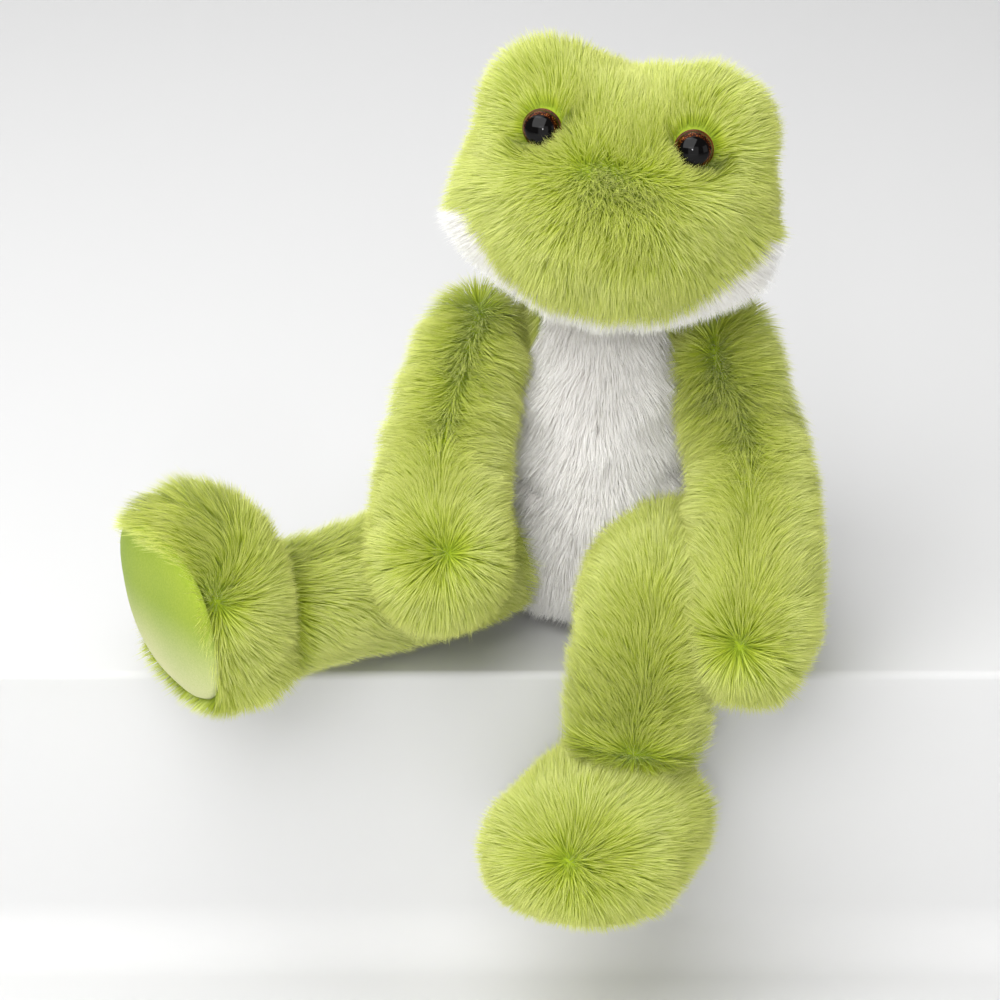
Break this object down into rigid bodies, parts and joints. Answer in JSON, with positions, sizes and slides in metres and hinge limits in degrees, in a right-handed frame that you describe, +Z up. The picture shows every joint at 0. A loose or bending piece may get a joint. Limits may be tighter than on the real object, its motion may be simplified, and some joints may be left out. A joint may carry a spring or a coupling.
{
  "type": "plush frog",
  "caption": "Floppy long-armed plush frog with a white belly and chin, sitting on an edge with one leg hanging over it.",
  "frame": {"origin": "middle of the flat seat under the body", "axes": "+Z up, out of the seat through the body; the toy faces -Y, so its own left is +X"},
  "size_m": [0.2495, 0.1915, 0.278],
  "materials": {
    "green_plush": "long brushed faux fur, lime green with paler tips",
    "white_plush": "long brushed faux fur, white",
    "smooth_plush": "short smooth pile, light green",
    "filling": "loose polyester fibre",
    "eye_plastic": "polished black",
    "eye_glitter": "amber glitter film",
    "washer_plastic": "moulded"
  },
  "bodies": {
    "torso": {"torso_skin": "green_plush", "belly_panel": "white_plush", "torso_filling": "filling"},
    "head": {"head_skin": "green_plush", "chin_panel": "white_plush", "head_filling": "filling", "left_eye": "eye_plastic", "left_eye_ring": "eye_glitter", "left_eye_washer": "washer_plastic", "right_eye": "eye_plastic", "right_eye_ring": "eye_glitter", "right_eye_washer": "washer_plastic"},
    "left_arm": {"left_arm_skin": "green_plush", "left_arm_filling": "filling"},
    "right_arm": {"right_arm_skin": "green_plush", "right_arm_filling": "filling"},
    "left_thigh": {"left_thigh_skin": "green_plush", "left_thigh_filling": "filling"},
    "right_thigh": {"right_thigh_skin": "green_plush", "right_thigh_filling": "filling"},
    "left_shin": {"left_shin_skin": "green_plush", "left_shin_filling": "filling", "left_foot_skin": "green_plush", "left_foot_filling": "filling", "left_sole_panel": "smooth_plush"},
    "right_shin": {"right_shin_skin": "green_plush", "right_shin_filling": "filling", "right_foot_skin": "green_plush", "right_foot_filling": "filling", "right_sole_panel": "smooth_plush"}
  },
  "joints": [
    {"name": "neck_nod", "type": "hinge", "parent": "torso", "child": "head", "pos_m": [0, -0.00661, 0.124], "axis": [-1, 0, 0], "range_deg": [-12, 8]},
    {"name": "right_shoulder_swing", "type": "hinge", "parent": "torso", "child": "right_arm", "pos_m": [-0.042, -0.002, 0.109], "axis": [-1, 0, 0], "range_deg": [0, 50]},
    {"name": "left_shoulder_swing", "type": "hinge", "parent": "torso", "child": "left_arm", "pos_m": [0.042, -0.002, 0.103], "axis": [-1, 0, 0], "range_deg": [0, 30]},
    {"name": "right_hip_swing", "type": "hinge", "parent": "torso", "child": "right_thigh", "pos_m": [-0.022, -0.012, 0.029], "axis": [0, 0, -1], "range_deg": [0, 24]},
    {"name": "left_hip_swing", "type": "hinge", "parent": "torso", "child": "left_thigh", "pos_m": [0.022, -0.012, 0.029], "axis": [0, 0, -1], "range_deg": [0, 20]},
    {"name": "right_knee_bend", "type": "hinge", "parent": "right_thigh", "child": "right_shin", "pos_m": [-0.08238, -0.05121, 0.029], "axis": [-0.5446, 0.8387, 0], "range_deg": [0, 30]},
    {"name": "left_knee_bend", "type": "hinge", "parent": "left_thigh", "child": "left_shin", "pos_m": [0.01635, -0.08378, 0.029], "axis": [-0.9733, 0.0766, 0.2164], "range_deg": [0, 60]}
  ]
}
